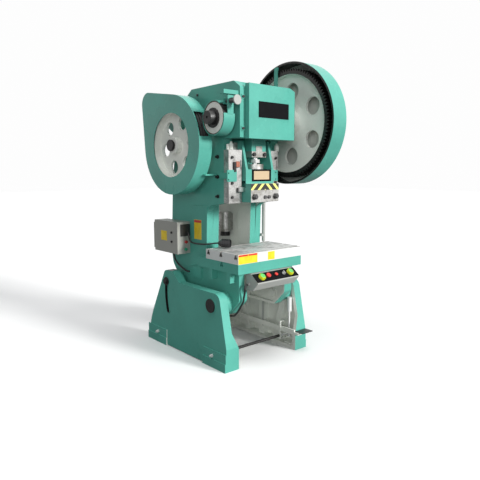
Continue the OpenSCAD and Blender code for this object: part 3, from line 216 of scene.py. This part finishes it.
def striped(name, pitch):
    """Black and yellow chevrons that point up at the middle of the strip."""
    mat, tree, shader, coord = start_material(name, coat=0.2)
    split = node_at(tree, "ShaderNodeSeparateXYZ")
    link(tree, coord, split.inputs["Vector"])
    side = node_at(tree, "ShaderNodeMath", operation="ABSOLUTE")
    link(tree, split.outputs["X"], side.inputs[0])
    add = node_at(tree, "ShaderNodeMath", operation="ADD")
    link(tree, split.outputs["Z"], add.inputs[0])
    link(tree, side.outputs["Value"], add.inputs[1])
    wrap = node_at(tree, "ShaderNodeMath", operation="PINGPONG")
    wrap.inputs[1].default_value = pitch / 2
    link(tree, add.outputs["Value"], wrap.inputs[0])
    edge = pitch * BLACK_SHARE
    mask = spread(tree, wrap.outputs["Value"], 0, 1, edge - EDGE_BLUR, edge + EDGE_BLUR)
    link(tree, ramp(tree, mask, [(0.45, STRIPE_BLACK), (0.55, STRIPE_YELLOW)]),
         shader.inputs["Base Color"])
    shader.inputs["Roughness"].default_value = 0.4
    bump(tree, shader, noise(tree, coord, 300.0, 2.0), 0.1, 0.0002)
    return mat


M["hazard"] = striped("hazard_stripes", STRIPE_PITCH)


# Mesh helpers; the angles are in degrees and the distance is in metres
SMOOTH_LIMIT = 32.0
ROUND_LIMIT = 30.0
FLAT_LIMIT = 0.6
WELD_DISTANCE = 2e-5


def new_object(name, mesh, body, mats):
    """Links a mesh as a piece that rides on a body and has a material slot."""
    ob = bpy.data.objects.new(name, mesh)
    scene.collection.objects.link(ob)
    for m in mats:
        if m.name not in [x.name for x in mesh.materials if x]:
            mesh.materials.append(m)
    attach(ob, body)
    return ob


def smooth_by_angle(mesh):
    """Edges flatter than the limit are shaded smooth."""
    for poly in mesh.polygons:
        poly.use_smooth = True
    bm = bmesh.new()
    bm.from_mesh(mesh)
    limit = math.radians(SMOOTH_LIMIT)
    for e in bm.edges:
        e.smooth = len(e.link_faces) == 2 and e.calc_face_angle(0.0) < limit
    bm.to_mesh(mesh)
    bm.free()


def soften(ob, width, segments=2):
    """Rounds the edges of a piece; the width is in metres."""
    mod = ob.modifiers.new("edge_rounding", "BEVEL")
    mod.width = width
    mod.segments = segments
    mod.limit_method = "ANGLE"
    mod.angle_limit = math.radians(ROUND_LIMIT)
    mod.use_clamp_overlap = True
    mod.harden_normals = True
    mod.miter_outer = "MITER_ARC"


def clean_copy(node):
    """A copy of a CAD node's mesh without double points and without seams in flat faces."""
    mesh = nodes[node].data.copy()
    mesh.materials.clear()
    bm = bmesh.new()
    bm.from_mesh(mesh)
    bmesh.ops.remove_doubles(bm, verts=bm.verts, dist=WELD_DISTANCE)
    bmesh.ops.dissolve_limit(bm, angle_limit=math.radians(FLAT_LIMIT), use_dissolve_boundaries=False,
                             verts=bm.verts, edges=bm.edges)
    return mesh, bm


class Place:
    """Where a face is, in millimetres: its centre, and how far its corners are from an axis along X."""

    def __init__(self, face):
        self.x, self.y, self.z = face.calc_center_median() / MM
        self.corners = [v.co / MM for v in face.verts]

    def radius(self, y, z):
        return max(math.hypot(c.y - y, c.z - z) for c in self.corners)


# Axes along X, as Y and Z in millimetres
CRANK = (-356, 1756)
SHAFT = (80, 1586)
TILT_PIVOT = (-345, 449)


def dress(node, mats, width=0.0, rule=None, segments=2):
    """A copy of a CAD node with rounded edges and its faces painted by a rule, in the node's place."""
    mesh, bm = clean_copy(node)
    if rule:
        for f in bm.faces:
            f.material_index = rule(Place(f), f.normal)
    bm.to_mesh(mesh)
    bm.free()
    for attribute in ("custom_normal", "sharp_face"):
        if attribute in mesh.attributes:
            mesh.attributes.remove(mesh.attributes[attribute])
    smooth_by_angle(mesh)
    ob = new_object(node + "_dressed", mesh, body_of_node[node], [M[m] for m in mats])
    if width:
        soften(ob, width, segments)
    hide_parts(node)


def keep_node(node, mat):
    """A CAD node whose shape is right gets its material."""
    mesh = nodes[node].data
    mesh.materials.clear()
    mesh.materials.append(M[mat])


# Stand
LEG_OUT = 405
SLOT_IN = 560
SLOT_OUT = 606


def faces_middle(c, n, least):
    """Whether a face looks at the machine's middle plane."""
    return n.x * (1 if c.x > 0 else -1) < -least


def leg_rule(c, n):
    """Green outside, pale inside, and black as painted shade in the walls of the tilt slot."""
    # The walls of the tilt slot get the black material as painted shade for the deep slot
    if abs(n.x) < 0.5 and c.y > 150 and c.z > 250 and SLOT_IN < c.radius(*TILT_PIVOT) < SLOT_OUT:
        return 2
    x = abs(c.x)
    inward = faces_middle(c, n, 0.5)
    inside = x < LEG_OUT - 15 and (inward or -505 < c.y < 470)
    rim = x < 345 and inward
    outer = n.z > 0.6 and c.z > 500
    front = n.y < -0.5 and c.y < -430
    sloped_back = c.y + 0.435 * c.z > 543
    back = n.y > 0.4 and (c.y > 380 or sloped_back)
    if outer or front or back:
        return 0
    return 1 if inside or rim else 0


# The third material, black, is painted shade in the tilt slot and not the legs' own colour
for leg in ("left_leg", "right_leg"):
    dress(leg, ["green", "pale", "black"], 0.004, leg_rule, 3)

dress("tie_rods", ["bright_paint", "black"], 0.0, lambda c, n: 1 if abs(c.x) < 276 and c.y < 0 else 0)
dress("treadle_bracket", ["pale"], 0.0015)
dress("return_strut", ["bright_paint"], 0.001)

# Frame casting
SIDE_IN = 215
THROAT_TOP = 1160
TABLE_TOP = 760
TABLE_BOTTOM = 685


def frame_rule(c, n):
    """Green outside, and pale in the open back, the throat and the underside."""
    x = abs(c.x)
    inward = faces_middle(c, n, 0.6)
    if c.z > THROAT_TOP:
        hollow = (x < 121 and inward) or (c.y > -149 and x < SIDE_IN + 1 and (inward or x < 214))
        return 1 if hollow and c.z < 1960 else 0
    if x < SIDE_IN + 2 and c.z > TABLE_TOP:
        return 1 if inward or (n.y > 0.5 and x < SIDE_IN) or x < 150 else 0
    return 1 if x < SIDE_IN + 2 and c.z < TABLE_BOTTOM else 0


dress("frame", ["green", "pale"], 0.005, frame_rule, 3)
dress("tilt_bolts", ["black", "pale"], 0.0015, lambda c, n: 1 if abs(c.x) < 216 else 0)


def bolster_rule(c, n):
    """A ground top, white sides and bare slots."""
    if n.z > 0.9 and c.z > 825:
        return 0
    return 1 if abs(c.x) > 314 or c.y < -539 or c.y > -173 else 2


dress("bolster", ["table_top", "white", "milled"], 0.0012, bolster_rule)
dress("socket_screws", ["black"], 0.001)
dress("front_cover", ["green_sheet"], 0.003, None, 3)
dress("bushes", ["bronze"], 0.0008)
dress("brake_band", ["green"], 0.002)
keep_node("brake_lining", "lining")
dress("brake_tension", ["turned", "grey"], 0.0015, lambda c, n: 1 if c.y < -534 else 0)
DRUM_HUB_R = 67
dress("brake_drum", ["cream", "black"], 0.0015,
      lambda c, n: 1 if c.radius(*CRANK) < DRUM_HUB_R or abs(n.x) < 0.5 else 0)


def guard_rule(c, n):
    """The inside of the guard is dark: grease, and painted shade inside the band."""
    # The inner band and inner flange get the near-black grease material, which also stands in as painted
    # shade inside the guard
    to_axis = (c.y - CRANK[0]) * n.y + (c.z - CRANK[1]) * n.z < 0
    inward = abs(n.x) < 0.3 and to_axis and c.y < 60
    if n.x < -0.5 and c.x > 400:
        return 2
    return 1 if inward or (n.x < -0.5 and c.x < 334) else 0


dress("gear_guard", ["green_sheet", "grease_and_painted_shade", "pale"], 0.0, guard_rule)
dress("guard_post", ["green"], 0.0015)
dress("belt_guard", ["green_sheet"], 0.0012)
dress("motor", ["green"], 0.0012)
dress("motor_base", ["green"], 0.002)
keep_node("v_belts", "rubber")
dress("gib_caps", ["worn"], 0.0012)
dress("gib_strips", ["milled"], 0.001)
dress("gib_brackets", ["green"], 0.0015)
dress("oil_cups", ["cream"], 0.0015)
dress("control_box", ["grey"], 0.0018)

# The tilted panel: Y and Z of its middle, and of the direction it looks in
PANEL_MIDDLE = (-589, 656)
PANEL_FACING = (-0.6189, 0.7855)
PALM_X = 141
PALM_RING_R = 28


def above_panel(c):
    """How far a face stands above the panel, in millimetres."""
    return (c.y - PANEL_MIDDLE[0]) * PANEL_FACING[0] + (c.z - PANEL_MIDDLE[1]) * PANEL_FACING[1]


dress("control_panel", ["panel", "button_yellow"], 0.0006,
      lambda c, n: 1 if abs(abs(c.x) - PALM_X) < PALM_RING_R and above_panel(c) > 3 else 0)
dress("electric_box", ["grey_light"], 0.0018)
DOOR_FACE = -385
LOCK_Y = 178


def door_rule(c, n):
    """Black locks and a yellow plate on the door."""
    if c.x < DOOR_FACE and abs(c.y - LOCK_Y) < 12:
        return 1
    return 2 if c.x < DOOR_FACE + 0.1 and 246 < c.y < 334 and 851 < c.z < 930 and n.x < -0.5 else 0


dress("box_door", ["grey_light", "black", "yellow"], 0.0012, door_rule)
dress("signal_lamps", ["plastic", "lens_red", "lens_green"], 0.002,
      lambda c, n: 0 if c.z > 890 else 1 if c.z > 830 else 2)
dress("work_lamp", ["plastic"], 0.0)
keep_node("conduits", "plastic")
dress("clutch_solenoid", ["milled", "black"], 0.0015, lambda c, n: 1 if c.z < 892 else 0)
dress("rod_guide", ["grey"], 0.001)

# Drive
dress("crankshaft", ["turned", "black"], 0.002, lambda c, n: 1 if c.x < -390 else 0)
TEETH_ROOT_R = 370
FLY_FACE_R = 338
dress("bull_gear", ["grease_and_painted_shade", "cream"], 0.0012, lambda c, n: 0 if c.radius(*CRANK) > TEETH_ROOT_R else 1)
dress("drive_shaft", ["turned", "black"], 0.002, lambda c, n: 1 if c.x < -430 else 0)
dress("drive_pinion", ["grease_and_painted_shade"], 0.0)
dress("flywheel", ["cream", "turned"], 0.003,
      lambda c, n: 1 if c.radius(*SHAFT) > FLY_FACE_R and abs(n.x) < 0.5 else 0, 3)
dress("motor_pulley", ["turned"], 0.0015)


# Ram and connecting rod
def ram_rule(c, n):
    """Bare guide faces and underside."""
    if abs(c.x) > 138 or (c.y > -325 and abs(n.x) > 0.9 and abs(c.x) > 120):
        return 1
    return 1 if n.z < -0.9 and c.z < 1180 else 0


dress("ram", ["green", "milled"], 0.004, ram_rule, 3)
dress("shank_clamp", ["milled", "green"], 0.0015,
      lambda c, n: 1 if abs(n.x) > 0.9 and abs(c.x) > 136 else 0)
dress("clamp_nuts", ["turned"], 0.0012)
dress("ram_plates", ["hazard", "panel"], 0.0004, lambda c, n: 0 if c.z < 1320 else 1)
dress("ball_seat", ["milled"], 0.0015)
dress("connecting_rod", ["green"], 0.003)
dress("rod_clamp", ["milled", "black"], 0.0015, lambda c, n: 1 if c.y < -404.3 else 0)
dress("ball_screw", ["bright"], 0.001)
dress("knockout_bar", ["bright"], 0.0015)

# Treadle and trip linkage
dress("treadle_lever", ["pale"], 0.0015)
dress("treadle_plate", ["black"], 0.0008)
dress("pull_rod", ["grey"], 0.001)
dress("trip_lever", ["turned"], 0.0012)

# Buttons
for button in ("left_palm_button", "right_palm_button"):
    dress(button, ["button_yellow", "button_green"], 0.003,
          lambda c, n: 1 if n.z > 0.7 and n.y < -0.5 and above_panel(c) > 22 else 0, 3)
dress("emergency_stop", ["red"], 0.004, None, 3)
dress("stop_button", ["red"], 0.0015)
dress("selector", ["bright"], 0.0008)
dress("label_plates", ["panel", "yellow", "red"], 0.0003,
      lambda c, n: 0 if c.z > 1700 else 1)


# Camera, fitted to the photograph
CAMERA_AT = Vector((-2516.4, -3125.9, 1408.2)) * MM
CAMERA_YAW = -40.61
CAMERA_PITCH = -7.95
FOCAL_PX = 503.88
FRAME_PX = 480
SENSOR_MM = 36.0
camera_data = bpy.data.cameras.new("camera")
camera = bpy.data.objects.new("camera", camera_data)
scene.collection.objects.link(camera)
camera.location = CAMERA_AT
camera.rotation_euler = (math.radians(90 + CAMERA_PITCH), 0.0, math.radians(CAMERA_YAW))
camera_data.sensor_width = SENSOR_MM
camera_data.lens = FOCAL_PX / FRAME_PX * SENSOR_MM
camera_data.clip_end = 100
scene.camera = camera


def grey(tone):
    return (tone, tone, tone, 1)


# Floor
FLOOR_HALF = 30.0
FLOOR_TONE = 0.93
BOUNCE_TONE = 0.24
floor_mesh = bpy.data.meshes.new("floor")
floor_mesh.from_pydata([(-FLOOR_HALF, -FLOOR_HALF, 0), (FLOOR_HALF, -FLOOR_HALF, 0),
                        (FLOOR_HALF, FLOOR_HALF, 0), (-FLOOR_HALF, FLOOR_HALF, 0)], [], [(0, 1, 2, 3)])
floor = bpy.data.objects.new("floor", floor_mesh)
scene.collection.objects.link(floor)
floor_mat, floor_tree, floor_shader, _ = start_material("pale_floor", specular=0.1)
floor_shader.inputs["Roughness"].default_value = 0.9
floor_shader.inputs["Base Color"].default_value = grey(FLOOR_TONE)
# The camera sees a white floor, and the machine gets only the bounce of a grey one
floor_bounce = node_at(floor_tree, "ShaderNodeBsdfDiffuse")
floor_bounce.inputs["Color"].default_value = grey(BOUNCE_TONE)
floor_mix = node_at(floor_tree, "ShaderNodeMixShader")
floor_path = node_at(floor_tree, "ShaderNodeLightPath")
link(floor_tree, floor_path.outputs["Is Camera Ray"], floor_mix.inputs["Fac"])
link(floor_tree, floor_bounce.outputs["BSDF"], floor_mix.inputs[1])
link(floor_tree, floor_shader.outputs["BSDF"], floor_mix.inputs[2])
link(floor_tree, floor_mix.outputs["Shader"], floor_tree.nodes["Material Output"].inputs["Surface"])
floor_mesh.materials.append(floor_mat)

# Light: a weak soft sky, and a plain pale background for what the camera, gloss and glass see
SKY_STRENGTH = 0.12
BACKGROUND_TONE = 0.985
world = bpy.data.worlds.new("studio")
scene.world = world
world.use_nodes = True
wt = world.node_tree
wt.nodes.clear()
out = node_at(wt, "ShaderNodeOutputWorld")
mix_world = node_at(wt, "ShaderNodeMixShader")
soft = node_at(wt, "ShaderNodeBackground")
soft.inputs["Color"].default_value = (0.9, 0.95, 1.0, 1)
soft.inputs["Strength"].default_value = SKY_STRENGTH
plain = node_at(wt, "ShaderNodeBackground")
plain.inputs["Color"].default_value = grey(BACKGROUND_TONE)
plain.inputs["Strength"].default_value = 1.0
path = node_at(wt, "ShaderNodeLightPath")
seen = path.outputs["Is Camera Ray"]
for ray in ("Is Glossy Ray", "Is Transmission Ray"):
    either = node_at(wt, "ShaderNodeMath", operation="MAXIMUM")
    link(wt, seen, either.inputs[0])
    link(wt, path.outputs[ray], either.inputs[1])
    seen = either.outputs["Value"]
link(wt, seen, mix_world.inputs["Fac"])
link(wt, soft.outputs["Background"], mix_world.inputs[1])
link(wt, plain.outputs["Background"], mix_world.inputs[2])
link(wt, mix_world.outputs["Shader"], out.inputs["Surface"])


def added_block(name, body, x, y, z, mat, width=0.0):
    """A small block that only the picture needs, given by its limits in millimetres."""
    bm = bmesh.new()
    bmesh.ops.create_cube(bm, size=1.0)
    for v in bm.verts:
        place = [(low + high) / 2 + (high - low) * c for (low, high), c in zip((x, y, z), v.co)]
        v.co = Vector(place) * MM
    mesh = bpy.data.meshes.new(name)
    bm.to_mesh(mesh)
    bm.free()
    ob = new_object(name, mesh, body, [M[mat]])
    if width:
        soften(ob, width)


# Coloured fields of the blank plates, and the small oil fittings on the left gib cap
added_block("ram_name_field", "slide_ram", (-63, 89), (-418.8, -417.5), (1337, 1398),
            "beige", 0.0003)
for number, (x0, x1) in enumerate(((-311, -228), (-222, -139))):
    added_block("plate_band_%d" % number, "frame_body", (x0, x1), (-541.6, -540.6),
                (814, 826), "red")
added_block("column_band", "frame_body", (-273.8, -272.6), (-58, 31), (1008, 1027), "red")
added_block("oil_union", "frame_body", (-204, -170), (-392, -378), (1424, 1466), "copper", 0.004)
added_block("oil_block", "frame_body", (-226, -206), (-394, -378), (1392, 1462), "black", 0.002)


def sun_light(name, toward, strength, angle, color=(1, 1, 1)):
    """A lamp of even strength everywhere, so the floor keeps its tone; the angle is in degrees."""
    data = bpy.data.lights.new(name, "SUN")
    data.energy = strength
    data.angle = math.radians(angle)
    data.color = color
    ob = bpy.data.objects.new(name, data)
    scene.collection.objects.link(ob)
    ob.rotation_euler = Vector(toward).to_track_quat("-Z", "Y").to_euler()


sun_light("key", (-0.28, 0.85, -0.3), 3.9, 14, (1.0, 0.995, 0.98))
sun_light("top", (0.05, 0.15, -1.0), 1.9, 40)
sun_light("fill", (0.7, 0.7, -0.2), 0.8, 30, (0.95, 0.98, 1.0))

scene.view_settings.view_transform = "Standard"
